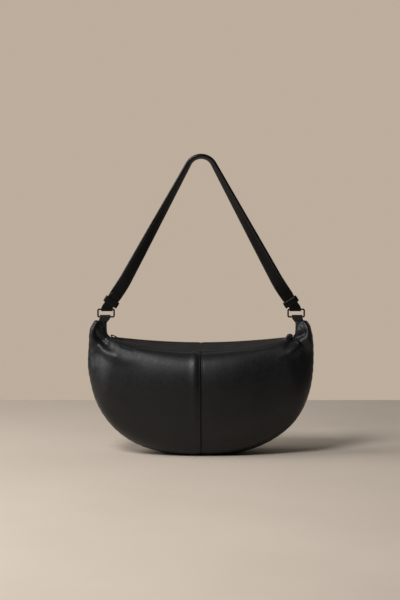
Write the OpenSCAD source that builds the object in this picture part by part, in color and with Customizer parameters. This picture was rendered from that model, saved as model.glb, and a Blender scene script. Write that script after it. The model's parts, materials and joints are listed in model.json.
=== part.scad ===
// Half moon shoulder bag in smooth black leather, with a zipped mouth and one strap.
// Millimetres. +Z is up, the front faces -Y, and the origin is at the middle of the base.

/* [Body] */
// Width of the body across its widest line
body_w = 350; // [300:1:400]
// Height of the widest line of the outline above the base
belly_h = 155; // [140:1:175]
// How far the resting base cuts into the round outline
base_cut = 3; // [1:0.5:6]
// Half of the depth of the filled body
body_half_d = 55; // [40:1:75]
// Thickness of the leather panels
leather_t = 2; // [1.4:0.1:2.6]
// How square the outline is, where 2 is an ellipse
outline_power = 2.45; // [2.1:0.05:2.8]

/* [Mouth] */
// Distance of each end of the mouth, where the panels join, from the widest line
mouth_inset = 35; // [30:1:50]
// Height of the zip's middle above the widest line of the body
zip_rise = 3.5; // [-5:0.5:10]
// Radius of the sagging arc that the zip follows
zip_arc_r = 560; // [500:5:640]
// Height of the front lip above the zip
front_lip_rise = 4.5; // [3:0.5:6]
// Height of the back lip above the zip at the middle
back_lip_rise = 12.5; // [10:0.5:15]
// Distance of the front lip from the zip's centre line
front_lip_y = 15; // [13:0.5:18]
// Distance of the back lip from the zip's centre line
back_lip_y = 22; // [18:0.5:25]
// Half of the gap between the two zip facings
facing_gap = 6.2; // [5.6:0.1:6.6]
// Thickness of the zip facings at the zip
facing_t = 1.4; // [1:0.1:1.8]

/* [Ears] */
// Height of the top edge of the ears above the zip's middle
ear_rise = 48; // [42:0.5:56]
// Distance of the ear's outer top corner from the widest line of the body
ear_out_inset = 10; // [5:0.5:15]
// Distance of the ear's inner top corner from the widest line of the body
ear_in_inset = 29; // [27:0.5:32]
// Half of the depth of the ear at its top
ear_half_d = 7; // [6:0.5:9]

/* [Lining] */
// Space between the leather and the lining
lining_gap = 1; // [0.6:0.1:1.4]
// Thickness of the lining cloth
lining_t = 0.8; // [0.5:0.1:1.2]
// Thickness of the tape that backs each centre seam
seam_tape_t = 0.5; // [0.3:0.1:0.6]

/* [Rings] */
// Distance of the ring's middle from the widest line of the body
ring_inset = 27.5; // [26:0.5:29]
// Height of the ring's lower bar, which the ear tab holds, above the top of the ear
ring_rise = 6.5; // [5.5:0.5:9]
// Distance between the ring's lower and upper bars
ring_bar_gap = 11.8; // [11.4:0.2:15]
// Inner width of the ring
ring_inner_w = 22.5; // [22:0.5:26]
// Diameter of the ring's wire
ring_wire_d = 2.5; // [2:0.1:2.8]
// Radius of the ring's bent corners, to the middle of the wire
ring_corner_r = 2; // [1.6:0.1:3]
// Running clearance between the wire and the leather loops round it
wire_clear = 0.08; // [0.03:0.01:0.1]

/* [Ear tabs] */
// Width of the loop of the ear tab on the ring's lower bar
tab_loop_w = 16.5; // [12:0.5:17]
// Width of the tab inside the ear
tab_w = 14.2; // [10:0.2:14.6]
// Thickness of the folded and pressed tab
tab_t = 3.6; // [2.8:0.1:4]
// Length of the tab inside the ear
tab_hidden_l = 19; // [12:0.5:22]
// How far the tab's loop sits from the ring's middle, away from the mouth
tab_loop_shift = 1.4; // [0:0.1:2]
// Wall of the leather loops round the wire
loop_wall = 1.8; // [1.4:0.1:2.2]

/* [Strap] */
// Height of the strap's middle line at its peak above the ring's upper bar
strap_rise = 237.2; // [175:0.1:335]
// How far the strap's ends bend out from its straight legs to reach the rings
strap_join_shift = 4; // [1:0.5:6]
// Radius of the bend at the peak
strap_peak_r = 22; // [14:1:40]
// Width of the strap
strap_w = 20; // [16:0.5:24]
// Thickness of the strap along its legs
strap_t = 6; // [4:0.2:8]
// Thickness of the strap where its ends are pared down
strap_end_t = 2.8; // [2:0.1:2.9]
// Turn of the strap about its own line at the peak, in degrees
strap_turn = 76; // [60:1:80]
// Width of the strap's loop on the ring's upper bar
strap_loop_w = 18; // [15:0.5:19]
// How far the strap's loop sits from the ring's middle, towards the mouth
strap_loop_shift = 1.4; // [0.5:0.1:1.4]
// Thickness of each leather leaf that holds a strap end
leaf_t = 1.45; // [1:0.05:1.5]
// Length of the leaves above the ring's upper bar
leaf_l = 24; // [20:0.5:28]

/* [Keepers] */
// Height of the middle of the keeper above the ring's upper bar
keeper_rise = 11.5; // [10:0.5:15]
// Length of the keeper along the strap
keeper_l = 9.5; // [6:0.5:11]
// Wall of the keeper
keeper_wall = 2.2; // [1.4:0.1:2.6]

/* [Zip] */
// Half of the width of the closed zip chain
chain_half_w = 2.7; // [2.2:0.1:3]
// Thickness of the zip chain
chain_t = 2.4; // [2:0.1:3]
// Half of the width of the zip with its tapes
tape_half_w = 10; // [9:0.5:11]
// Thickness of the zip tapes
tape_t = 0.6; // [0.4:0.1:0.8]
// Distance of the closed slider's middle from the end of the mouth
slider_inset = 15; // [14:0.5:25]
// Distance of the fully opened slider's middle from the other end of the mouth
slider_open_inset = 20; // [19:0.5:30]
// Length of the slider
slider_l = 9; // [8:0.5:10]
// Width of the slider
slider_w = 9.2; // [8.6:0.1:10]
// Thickness of the slider's plates
slider_plate_t = 1.1; // [0.9:0.1:1.4]
// Length of the puller from its pivot to its tip
puller_l = 18; // [14:0.5:19]
// Width of the puller
puller_w = 8; // [7:0.5:8.4]
// Thickness of the puller
puller_t = 1.4; // [1:0.1:1.6]
// Lean of the resting puller above the zip, in degrees
puller_lean = 13; // [12:1:20]

/* [Hidden] */
$fn = 48;

leather_colour = [0.09, 0.09, 0.1];
leather_light_colour = [0.13, 0.13, 0.14];
cloth_colour = [0.16, 0.15, 0.14];
metal_colour = [0.2, 0.2, 0.21];

// Small clearances and overruns
part_gap = 0.3;
cut_over = 1;

// Outline and section of the body
half_w = body_w / 2;
zip_mid_h = belly_h + zip_rise;
ear_h = zip_mid_h + ear_rise;
ring_low_h = ear_h + ring_rise;
mouth_half_w = half_w - mouth_inset;
ear_out_x = half_w - ear_out_inset;
ear_in_x = half_w - ear_in_inset;
ring_x = half_w - ring_inset;
outline_drop = belly_h + base_cut;
outline_steps = 18;
profile_steps = 13;
section_power = 2.6;
fullest_share = 0.45;
plan_power = 2.5;
plan_root = 2.2;
shoulder_share = 0.5;
shoulder_low_share = 0.4;
ear_outer_shares = [[0.04, 0.25], [0.14, 0.485], [0.34, 0.7], [0.62, 0.874], [1, 1]];
ear_inner_shares = [[0.42, 0.08], [0.88, 0.22], [1.05, 0.45], [1.07, 0.73], [1, 1]];
ear_steps = len(ear_outer_shares);

// Arcs of the lips, which meet at the ends of the mouth
front_lip_h = zip_mid_h + front_lip_rise;
front_lip_r = zip_arc_r - front_lip_rise;
back_lip_h = zip_mid_h + back_lip_rise;
mouth_end_h = arc_z(mouth_half_w, front_lip_h, front_lip_r);
lip_sag = mouth_end_h - back_lip_h;
back_lip_r = (pow(mouth_half_w, 2) + pow(lip_sag, 2)) / (2 * lip_sag);
lip_close_power = 4;

// The facings, tapes and pocket cover part of the same grid
facing_steps = 14;
tape_turn_share = 0.25;
glue_t = 0.2;
pocket_side_step = 5;
pocket_low_step = 3;
pocket_top_step = 8;
lining_in = leather_t + lining_gap;

// Zip chain, stops and slider, placed by their distance from the middle
slider_x = mouth_half_w - slider_inset;
slider_open_x = mouth_half_w - slider_open_inset;
zip_end_inset = 5.5;
zip_end_x = mouth_half_w - zip_end_inset;
stop_l = 1.8;
stop_h = 3;
top_stop_x = slider_x + slider_l / 2 + stop_l;
wedge_l = 2.4;
wedge_half_w = 1.2;
chain_left_x = slider_x + slider_l / 2 - wedge_l - part_gap;
chain_right_x = slider_open_x + slider_l / 2 + part_gap;
slider_gap = 2 * part_gap + chain_t;
rail_t = 0.6;
bail_half_w = 1.1;
bail_bar = 0.9;
bail_hole_h = 2.3;
bail_share = 0.6;
pin_h = slider_gap / 2 + slider_plate_t + bail_hole_h / 2;
pin_r = 0.8;
pin_side_gap = 0.8;
puller_arm_w = 1.3;
puller_loop_share = 0.62;
puller_rim = 1.7;

// Leather pieces at the ends of the zip
cover_t = 1.7;
cover_l = 5;
cover_half_w = 4;
hump_shares = [
    [0, 0], [0.25, 0.02], [0.29, 0.52], [0.84, 0.66], [1, 0.92], [0.85, 1], [0.56, 0.99],
    [0.26, 0.83], [0.05, 0.5]
];
hump_inset = 9;
hump_l = 11.6;
hump_h = 12.5;
hump_half_w = 5;
hump_gap = 1.8;

// Rings and the leather loops on them
wire_r = ring_wire_d / 2;
ring_high_h = ring_low_h + ring_bar_gap;
ring_half_w = (ring_inner_w + ring_wire_d) / 2;
loop_bore_r = wire_r + wire_clear;
loop_r = loop_bore_r + loop_wall;
tab_loop_x = ring_x + tab_loop_shift;
tab_x = (ear_out_x + ear_in_x) / 2;
foot_step = 3;
foot_half_h = 1.5;
sewn_bite = 0.4;

// Route, turn and section of the strap. Its straight legs touch the round peak
strap_top_h = ring_high_h + strap_rise;
strap_loop_x = ring_x - strap_loop_shift;
strap_reach = [strap_loop_x - strap_join_shift, strap_top_h - strap_peak_r - ring_high_h];
strap_lean = atan(strap_reach[0] / strap_reach[1]) - asin(strap_peak_r / norm(strap_reach));
strap_vertex_h = strap_top_h + strap_peak_r * (1 / sin(strap_lean) - 1);
strap_tangent_h = strap_top_h - strap_peak_r + strap_peak_r * sin(strap_lean);
strap_end_h = ring_high_h + loop_r + part_gap + sin(strap_lean) * strap_loop_w / 2;
strap_join_l = 48;
turn_power = 0.65;
turn_ease_share = 0.1;
thick_l = 24;
wide_l = 24;
peak_steps = 5;
leg_steps = 22;
held_steps = 2;
edge_steps = 8;
edge_power = 0.8;
leaf_in = strap_end_t / 2;
leaf_tip_share = 0.7;
strap_held_h = ring_high_h + leaf_l + part_gap + sin(strap_lean) * leaf_tip_share * strap_w / 2;
leaf_out = leaf_in + leaf_t;
keeper_h = ring_high_h + keeper_rise;

function mix(a, b, share) = a + (b - a) * share;
function ease(share) = let (s = min(1, max(0, share))) s * s * (3 - 2 * s);
function arc_z(x, mid_h, r) = mid_h + r - sqrt(r * r - x * x);
function flip(points) = [for (k = [len(points) - 1 : -1 : 0]) points[k]];

// Outline of the body in the plane of its side seam, from the base (0) up to the ear
function outline_angle(i) = 90 - 90 * i / outline_steps;
function outline_share(i) = pow(cos(outline_angle(i)), 2 / outline_power);
function outline_low(i) = [
    half_w * outline_share(i),
    belly_h - outline_drop * pow(sin(outline_angle(i)), 2 / outline_power)
];
function outline_point(i) = i <= outline_steps
    ? outline_low(i)
    : let (s = ear_outer_shares[i - outline_steps - 1])
        [mix(half_w, ear_out_x, s[0]), mix(belly_h, ear_h, s[1])];

// Edge of the mouth, and the ear's inner edge above it
function mouth_point(i, mid_h, r) = i <= outline_steps
    ? let (x = mouth_half_w * outline_share(i)) [x, arc_z(x, mid_h, r)]
    : let (s = ear_inner_shares[i - outline_steps - 1])
        [mix(mouth_half_w, ear_in_x, s[0]), mix(mouth_end_h, ear_h, s[1])];
function lip_out(x, lip_y) = lip_y * sqrt(max(0, 1 - pow(x / mouth_half_w, lip_close_power)));

// Half depth of the body along each rib
function plan_depth(i, seam, mouth) =
    let (x_share = (seam[0] + mouth[0]) / body_w, rise = seam[1] / belly_h)
    body_half_d * pow(1 - pow(x_share, plan_power), 1 / plan_root)
    * (1 - shoulder_share * ease((rise - shoulder_low_share) / (1 - shoulder_low_share)));
function rib_depth(i, seam, mouth) = i <= outline_steps
    ? plan_depth(i, seam, mouth)
    : mix(
        plan_depth(outline_steps, [half_w, belly_h], [mouth_half_w, mouth_end_h]),
        ear_half_d, (i - outline_steps) / ear_steps);

// One point of a panel: i counts ribs from the middle, j runs from the seam to the lip,
// and inset is how far inside the outer face the point lies
function profile_angle(j) = 180 * j / profile_steps;
function skin_point(i, j, inset, lip) =
    let (
        n = abs(i),
        seam = outline_point(n),
        mouth = mouth_point(n, lip[1], lip[2]),
        span = norm(mouth - seam),
        along = (mouth - seam) / span,
        a = profile_angle(j),
        low = a <= 90,
        e = 2 / section_power,
        t = low
            ? fullest_share * (1 - pow(cos(a), e))
            : fullest_share + (1 - fullest_share) * pow(sin(a - 90), e),
        place = seam + along * (inset + (span - 2 * inset) * t),
        deep = rib_depth(n, seam, mouth) - inset,
        lip_d = n <= outline_steps ? min(deep, lip_out(mouth[0], lip[0])) : 0,
        d = low ? deep * pow(sin(a), e) : lip_d + (deep - lip_d) * pow(max(0, cos(a - 90)), e)
    )
    [sign(i) * place[0], -d, max(inset, place[1])];

front_lip = [front_lip_y, front_lip_h, front_lip_r];
back_lip = [back_lip_y, back_lip_h, back_lip_r];

// Closed solid through a row of rings with equal numbers of points, which go along one
// side of the section and back along the other. Two lofts that share a curved face also
// share its triangles if one of them takes the other diagonal
module loft(rings, other_diagonal = false) {
    n = len(rings);
    m = len(rings[0]);
    points = [for (ring = rings) for (p = ring) p];
    sides = [
        for (i = [0 : n - 2]) for (k = [0 : m - 1])
            let (a = i * m + k, d = i * m + (k + 1) % m, b = a + m, c = d + m)
                each (other_diagonal ? [[a, d, b], [d, c, b]] : [[a, d, c], [a, c, b]])
    ];
    first = [
        for (k = [0 : floor(m / 2) - 2])
            let (a = k, b = k + 1, c = m - 2 - k, d = m - 1 - k)
                each (c == b ? [[d, b, a]] : [[c, b, a], [d, c, a]])
    ];
    middle = m % 2 == 1 ? let (k = floor(m / 2) - 1) [[k + 2, k + 1, k]] : [];
    near = concat(first, middle);
    far = [for (f = near) [for (k = [2 : -1 : 0]) (n - 1) * m + f[k]]];
    polyhedron(points, concat(sides, near, far), convexity = 10);
}

// Sheet that follows the panels over the given ribs and steps. It lies at the given inset,
// and its top edge at top_inset
module skin_sheet(
    ribs, low_step, top_step, inset, top_inset, thickness, lip, other_diagonal = false
) {
    rings = [
        for (i = ribs) let (
            outer = [
                for (j = [low_step : top_step])
                    skin_point(i, j, j == top_step ? top_inset : inset, lip)
            ],
            inner = [
                for (j = [low_step : top_step])
                    skin_point(i, j, (j == top_step ? top_inset : inset) + thickness, lip)
            ]
        ) concat(outer, flip(inner))
    ];
    loft(rings, other_diagonal);
}

module panel(lip) {
    skin_sheet([0 : outline_steps + ear_steps], 0, profile_steps, 0, 0, leather_t, lip);
}

module front_panel_right() {
    color(leather_colour) panel(front_lip);
}

module front_panel_left() {
    color(leather_light_colour) mirror([1, 0, 0]) panel(front_lip);
}

module back_panel_right() {
    color(leather_colour) mirror([0, 1, 0]) panel(back_lip);
}

module back_panel_left() {
    color(leather_light_colour) mirror([0, 1, 0]) mirror([1, 0, 0]) panel(back_lip);
}

module seam_tape(lip) {
    skin_sheet(
        [-tape_turn_share, 0, tape_turn_share], 0, profile_steps - 1, leather_t + glue_t,
        leather_t + glue_t, seam_tape_t, lip);
}

module front_seam_tape() {
    color(cloth_colour) seam_tape(front_lip);
}

module back_seam_tape() {
    color(cloth_colour) mirror([0, 1, 0]) seam_tape(back_lip);
}

// Strip that runs from the lip's cut edge down to the zip tape
module zip_facing(lip) {
    loft([
        for (i = [-facing_steps : facing_steps])
            let (
                outer = skin_point(i, profile_steps, 0, lip),
                inner = skin_point(i, profile_steps, leather_t, lip),
                zip_h = arc_z(outer[0], zip_mid_h, zip_arc_r) + tape_t / 2
            )
            [
                outer, [outer[0], -facing_gap, zip_h + facing_t],
                [outer[0], -facing_gap, zip_h], inner
            ]
    ]);
}

module front_zip_facing() {
    color(leather_colour) zip_facing(front_lip);
}

module back_zip_facing() {
    color(leather_colour) mirror([0, 1, 0]) zip_facing(back_lip);
}

module lining(lip) {
    skin_sheet(
        [-outline_steps : outline_steps], 0, profile_steps, lining_in, leather_t, lining_t, lip);
}

module front_lining() {
    color(cloth_colour) lining(front_lip);
}

module back_lining() {
    color(cloth_colour) mirror([0, 1, 0]) lining(back_lip);
}

module inner_pocket() {
    color(cloth_colour) mirror([0, 1, 0]) skin_sheet(
        [-pocket_side_step : pocket_side_step], pocket_low_step, pocket_top_step,
        lining_in + lining_t, lining_in + lining_t, lining_t, back_lip,
        other_diagonal = true);
}

// Turns a drawing of the zip's section (radius, -y) about the centre of the zip's arc
module along_zip(left_x, right_x) {
    left_a = asin(left_x / zip_arc_r);
    right_a = asin(right_x / zip_arc_r);
    translate([0, 0, zip_mid_h + zip_arc_r]) rotate([90, 0, 0]) rotate([0, 0, -90 - left_a])
        rotate_extrude(angle = left_a + right_a, $fn = 180) children();
}

// Places a piece drawn at the origin on the zip, with +Z pointing to the arc's centre
module on_zip(x) {
    translate([0, 0, zip_mid_h + zip_arc_r]) rotate([0, -asin(x / zip_arc_r), 0])
        translate([0, 0, -zip_arc_r]) children();
}

module zip_tape() {
    along_zip(zip_end_x, zip_end_x)
        translate([zip_arc_r - tape_t / 2, chain_half_w])
            square([tape_t, tape_half_w - chain_half_w]);
}

module zip_tape_front() {
    color(cloth_colour) zip_tape();
}

module zip_tape_back() {
    color(cloth_colour) mirror([0, 1, 0]) zip_tape();
}

module zip_chain() {
    along_zip(chain_left_x, chain_right_x)
        translate([zip_arc_r - chain_t / 2, part_gap / 4])
            square([chain_t, chain_half_w - part_gap / 4]);
}

module zip_chain_front() {
    color(metal_colour) zip_chain();
}

module zip_chain_back() {
    color(metal_colour) mirror([0, 1, 0]) zip_chain();
}

module zip_top_stops() {
    color(metal_colour) for (side = [-1, 1])
        on_zip(-top_stop_x) translate([0, side * chain_half_w, 0])
            cube([stop_l, chain_half_w, stop_h], center = true);
}

module zip_bottom_stop() {
    color(metal_colour) on_zip(chain_right_x + stop_l / 2)
        cube([stop_l, 2 * (chain_half_w + stop_l / 2), stop_h], center = true);
}

module zip_end_cover_left() {
    right_x = top_stop_x + stop_l / 2 + part_gap;
    color(leather_colour) on_zip(-right_x) translate([-cover_l, -cover_half_w, tape_t / 2])
        cube([cover_l, 2 * cover_half_w, cover_t]);
}

module zip_end_tab_right() {
    left_x = mouth_half_w - hump_inset;
    base_h = arc_z(left_x + hump_gap, zip_mid_h, zip_arc_r) + tape_t / 2;
    color(leather_light_colour) translate([left_x, hump_half_w, base_h]) rotate([90, 0, 0])
        linear_extrude(2 * hump_half_w)
            polygon([for (s = hump_shares) [s[0] * hump_l, s[1] * hump_h]]);
}

// Leather loop round a bar of the ring, with its bore left to cut
module bar_sleeve(x, h, width, r) {
    translate([x - width / 2, 0, h]) rotate([0, 90, 0]) cylinder(r = r, h = width);
}

// Flat leather drawn in the plane of the bag and centred on y = 0
module flat_leather(thickness) {
    translate([0, thickness / 2, 0]) rotate([90, 0, 0]) linear_extrude(thickness) children();
}

module ear_tab() {
    half_loop = tab_loop_w / 2;
    half_tab = tab_w / 2;
    neck_h = ear_h - half_tab / 2;
    foot_out = outline_point(outline_steps + foot_step) - [leather_t - sewn_bite, 0];
    foot_in = mouth_point(outline_steps + foot_step, 0, 0) + [leather_t - sewn_bite, 0];
    difference() {
        union() {
            bar_sleeve(tab_loop_x, ring_low_h, tab_loop_w, loop_r);
            flat_leather(tab_t) polygon([
                [tab_loop_x - half_loop, ring_low_h],
                [tab_loop_x + half_loop, ring_low_h],
                [tab_x + half_tab, neck_h],
                foot_out + [0, foot_half_h],
                foot_out - [0, foot_half_h],
                [tab_x + half_tab, ear_h - tab_hidden_l],
                [tab_x - half_tab, ear_h - tab_hidden_l],
                foot_in - [0, foot_half_h],
                foot_in + [0, foot_half_h],
                [tab_x - half_tab, neck_h]
            ]);
        }
        bar_sleeve(tab_loop_x, ring_low_h, tab_loop_w + 2 * cut_over, loop_bore_r);
    }
}

module ear_tab_right() {
    color(leather_light_colour) ear_tab();
}

module ear_tab_left() {
    color(leather_light_colour) mirror([1, 0, 0]) ear_tab();
}

// Wire ring with straight bars along X and Z and bent corners
module ring() {
    straight_x = ring_half_w - ring_corner_r;
    straight_z = ring_bar_gap / 2 - ring_corner_r;
    translate([ring_x, 0, (ring_low_h + ring_high_h) / 2]) {
        for (side = [-1, 1]) {
            translate([-straight_x, 0, side * ring_bar_gap / 2]) rotate([0, 90, 0])
                cylinder(r = wire_r, h = 2 * straight_x);
            translate([side * ring_half_w, 0, -straight_z])
                cylinder(r = wire_r, h = 2 * straight_z);
        }
        for (q = [0 : 3])
            translate([
                straight_x * (q == 0 || q == 3 ? 1 : -1), 0,
                straight_z * (q < 2 ? 1 : -1)
            ])
                rotate([90, 0, 0]) rotate([0, 0, 90 * q])
                    rotate_extrude(angle = 90) translate([ring_corner_r, 0]) circle(r = wire_r);
    }
}

module ring_right() {
    color(metal_colour) ring();
}

module ring_left() {
    color(metal_colour) mirror([1, 0, 0]) ring();
}

// Strap: its middle line in the plane of the bag, right half
function leg_line_x(h) = tan(strap_lean) * (strap_vertex_h - h);
function leg_x(h) = leg_line_x(h)
    + strap_join_shift * (1 - ease((h - ring_high_h) / strap_join_l));
function leg_tilt(h) = atan((leg_x(h - part_gap) - leg_x(h + part_gap)) / (2 * part_gap));
function strap_place(k) = k <= peak_steps
    ? let (a = (90 - strap_lean) * k / peak_steps)
        [strap_peak_r * sin(a), strap_top_h - strap_peak_r + strap_peak_r * cos(a), 90 - a]
    : let (
        n = k - peak_steps,
        h = n <= leg_steps
            ? mix(strap_tangent_h, strap_held_h, n / leg_steps)
            : mix(strap_held_h, strap_end_h, (n - leg_steps) / held_steps)
    )
        [leg_x(h), h, leg_tilt(h)];
function strap_twist(h) =
    let (s = max(0, (h - strap_held_h) / (strap_top_h - strap_held_h)))
    strap_turn * pow(s, turn_power) * ease(s / turn_ease_share);
function strap_half_t(h) = mix(strap_end_t, strap_t, ease((h - strap_held_h) / thick_l)) / 2;
function strap_half_w(h, tilt) =
    mix(strap_loop_w * cos(tilt), strap_w, ease((h - ring_high_h) / wide_l)) / 2;

function strap_edge_x(h) = strap_half_w(h, leg_tilt(h)) / cos(leg_tilt(h));

// One ring of the strap. inward is 1 for the half that faces the body and -1 for the outer half
function strap_ring(k, inward) =
    let (
        place = strap_place(abs(k)),
        side = k < 0 ? -1 : 1,
        tilt = place[2],
        turn = strap_twist(place[1]),
        in_dir = [-side * cos(tilt), 0, -sin(tilt)],
        face = sin(turn) * in_dir + cos(turn) * [0, -1, 0],
        across = cos(turn) * in_dir - sin(turn) * [0, -1, 0],
        half_t = strap_half_t(place[1]),
        half_wide = strap_half_w(place[1], tilt)
    )
    [
        for (q = [0 : edge_steps])
            let (
                a = 180 * q / edge_steps,
                u = sign(cos(a)) * pow(abs(cos(a)), edge_power),
                v = pow(abs(sin(a)), edge_power)
            )
            [side * place[0], 0, place[1]] + across * half_wide * u + face * half_t * v * inward
    ];

module strap_layer(inward) {
    last = peak_steps + leg_steps + held_steps;
    rings = [for (k = [-last : last]) strap_ring(k, inward)];
    loft(inward > 0 ? rings : flip(rings), other_diagonal = inward < 0);
}

module strap_outer() {
    color(leather_light_colour) strap_layer(-1);
}

module strap_inner() {
    color(leather_colour) strap_layer(1);
}

// Leather end that loops the ring's upper bar and holds the strap between two leaves
module strap_end() {
    top_h = ring_high_h + leaf_l;
    half_loop = strap_loop_w / 2;
    mid_h = ring_high_h + leaf_l / 2;
    difference() {
        union() {
            bar_sleeve(strap_loop_x, ring_high_h, strap_loop_w, loop_r);
            for (side = [-1, 1])
                translate([0, side * (leaf_in + leaf_out) / 2, 0]) flat_leather(leaf_t) polygon([
                    [strap_loop_x - half_loop, ring_high_h],
                    [strap_loop_x + half_loop, ring_high_h],
                    [leg_x(mid_h) + strap_edge_x(mid_h), mid_h],
                    [leg_x(top_h) + strap_edge_x(top_h) * leaf_tip_share, top_h],
                    [leg_x(top_h) - strap_edge_x(top_h) * leaf_tip_share, top_h],
                    [leg_x(mid_h) - strap_edge_x(mid_h), mid_h]
                ]);
        }
        bar_sleeve(strap_loop_x, ring_high_h, strap_loop_w + 2 * cut_over, loop_bore_r);
    }
}

module strap_end_right() {
    color(leather_colour) strap_end();
}

module strap_end_left() {
    color(leather_colour) mirror([1, 0, 0]) strap_end();
}

module keeper() {
    tilt = leg_tilt(keeper_h);
    in_w = 2 * (strap_half_w(keeper_h + keeper_l / 2, tilt) + part_gap);
    in_t = 2 * leaf_out;
    translate([leg_x(keeper_h), 0, keeper_h]) rotate([0, -tilt, 0]) difference() {
        cube([in_w + 2 * keeper_wall, in_t + 2 * keeper_wall, keeper_l], center = true);
        cube([in_w, in_t, keeper_l + 2 * cut_over], center = true);
    }
}

module keeper_right() {
    color(leather_colour) keeper();
}

module keeper_left() {
    color(leather_colour) mirror([1, 0, 0]) keeper();
}

// Slider drawn at the origin, its nose towards -X, with the chain passing through it
module slider_body() {
    plate_z = slider_gap / 2;
    top_z = plate_z + slider_plate_t;
    bail_l = slider_l * bail_share;
    for (side = [-1, 1])
        translate([-slider_l / 2, -slider_w / 2, side > 0 ? plate_z : -top_z])
            cube([slider_l, slider_w, slider_plate_t]);
    translate([-slider_l / 2, -wedge_half_w, -plate_z - slider_plate_t / 2])
        cube([wedge_l, 2 * wedge_half_w, slider_gap + slider_plate_t]);
    for (side = [-1, 1])
        translate([-slider_l / 2, side > 0 ? slider_w / 2 - rail_t : -slider_w / 2, tape_t / 2 + part_gap])
            cube([slider_l, rail_t, plate_z - tape_t / 2]);
    difference() {
        translate([-bail_l / 2, -bail_half_w, top_z - slider_plate_t / 2])
            cube([bail_l, 2 * bail_half_w, slider_plate_t / 2 + bail_hole_h + bail_bar]);
        translate([-bail_l / 2 + bail_bar, -bail_half_w - cut_over, top_z])
            cube([bail_l - 2 * bail_bar, 2 * (bail_half_w + cut_over), bail_hole_h]);
    }
}

module zip_slider() {
    color(metal_colour) on_zip(-slider_x) slider_body();
}

// Puller drawn from its pivot towards -X: a cross pin, two arms and a flat loop
module puller_body() {
    pin_half = bail_half_w + pin_side_gap + puller_arm_w;
    loop_l = puller_l * puller_loop_share;
    rotate([90, 0, 0]) cylinder(r = pin_r, h = 2 * pin_half, center = true);
    for (side = [-1, 1])
        translate([-puller_l + loop_l / 2, side > 0 ? pin_half - puller_arm_w : -pin_half, -puller_t / 2])
            cube([puller_l - loop_l / 2, puller_arm_w, puller_t]);
    difference() {
        loop_plate(-puller_l, loop_l, puller_w, puller_t);
        loop_plate(
            -puller_l + puller_rim, loop_l - 2 * puller_rim, puller_w - 2 * puller_rim,
            puller_t + 2 * cut_over);
    }
}

// Plate with a round end at tip_x and a square end the given length further along +X
module loop_plate(tip_x, length, width, thickness) {
    translate([tip_x + width / 2, 0, -thickness / 2]) cylinder(d = width, h = thickness);
    translate([tip_x + width / 2, -width / 2, -thickness / 2])
        cube([length - width / 2, width, thickness]);
}

module zip_puller() {
    color(metal_colour) on_zip(-slider_x) translate([0, 0, pin_h]) rotate([0, puller_lean, 0])
        puller_body();
}

front_panel_left();
front_panel_right();
back_panel_left();
back_panel_right();
front_seam_tape();
back_seam_tape();
front_zip_facing();
back_zip_facing();
front_lining();
back_lining();
inner_pocket();
zip_tape_front();
zip_tape_back();
zip_chain_front();
zip_chain_back();
zip_top_stops();
zip_bottom_stop();
zip_end_cover_left();
zip_end_tab_right();
ear_tab_left();
ear_tab_right();
zip_slider();
zip_puller();
ring_left();
ring_right();
strap_outer();
strap_inner();
strap_end_left();
strap_end_right();
keeper_left();
keeper_right();
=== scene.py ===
import json
import math

import bmesh
import bpy
import numpy as np
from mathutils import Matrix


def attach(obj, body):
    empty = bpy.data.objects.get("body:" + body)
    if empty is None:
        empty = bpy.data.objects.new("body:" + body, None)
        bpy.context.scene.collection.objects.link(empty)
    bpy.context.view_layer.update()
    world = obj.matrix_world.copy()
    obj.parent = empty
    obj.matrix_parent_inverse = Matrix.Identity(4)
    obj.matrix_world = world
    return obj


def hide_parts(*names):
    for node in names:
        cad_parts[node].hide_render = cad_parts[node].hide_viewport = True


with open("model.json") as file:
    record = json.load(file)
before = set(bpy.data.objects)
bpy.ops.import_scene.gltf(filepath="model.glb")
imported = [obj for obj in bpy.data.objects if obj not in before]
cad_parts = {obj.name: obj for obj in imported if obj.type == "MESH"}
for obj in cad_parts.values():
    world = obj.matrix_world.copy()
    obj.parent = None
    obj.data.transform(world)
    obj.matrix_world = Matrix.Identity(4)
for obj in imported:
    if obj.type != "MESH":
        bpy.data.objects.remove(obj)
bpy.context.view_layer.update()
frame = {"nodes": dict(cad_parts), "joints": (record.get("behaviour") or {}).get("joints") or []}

MM = 0.001
joint_at = {j["name"]: np.array(j["pos_m"]) / MM for j in frame["joints"]}

# Sizes of the construction in millimetres, as in the solid model
BODY_W = 350
BELLY_H = 155
BASE_CUT = 3
BODY_HALF_D = 55
LEATHER_T = 2
OUTLINE_POWER = 2.45
SECTION_POWER = 2.6
FULLEST_SHARE = 0.45
PLAN_POWER = 2.5
PLAN_ROOT = 2.2
SHOULDER_SHARE = 0.5
SHOULDER_LOW_SHARE = 0.4
RIBS = 18
PROFILE_STEPS = 13
EAR_OUTER_SHARES = [[0, 0], [0.04, 0.25], [0.14, 0.485], [0.34, 0.7], [0.62, 0.874], [1, 1]]
EAR_INNER_SHARES = [[0, 0], [0.42, 0.08], [0.88, 0.22], [1.05, 0.45], [1.07, 0.73], [1, 1]]
EAR_STEPS = len(EAR_OUTER_SHARES) - 1
LAST_RIB = RIBS + EAR_STEPS
EAR_HALF_D = 7
EAR_PINCH_SHARE = 0.42
LIP_CLOSE_POWER = 4
LINING_IN = 3
LINING_T = 0.8

HALF_W = BODY_W / 2
MOUTH_HALF_W = HALF_W - 35
EAR_OUT_X = HALF_W - 10
EAR_IN_X = HALF_W - 29
ZIP_ARC_R = 560
ZIP_CENTRE_H = joint_at["zip_run"][2]
ZIP_MID_H = ZIP_CENTRE_H - ZIP_ARC_R
EAR_H = ZIP_MID_H + 48
FRONT_RISE = 4.5
BACK_RISE = 12.5
OUTLINE_DROP = BELLY_H + BASE_CUT


def arc_h(x, mid_h, r):
    return mid_h + r - np.sqrt(r * r - x * x)


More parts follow.
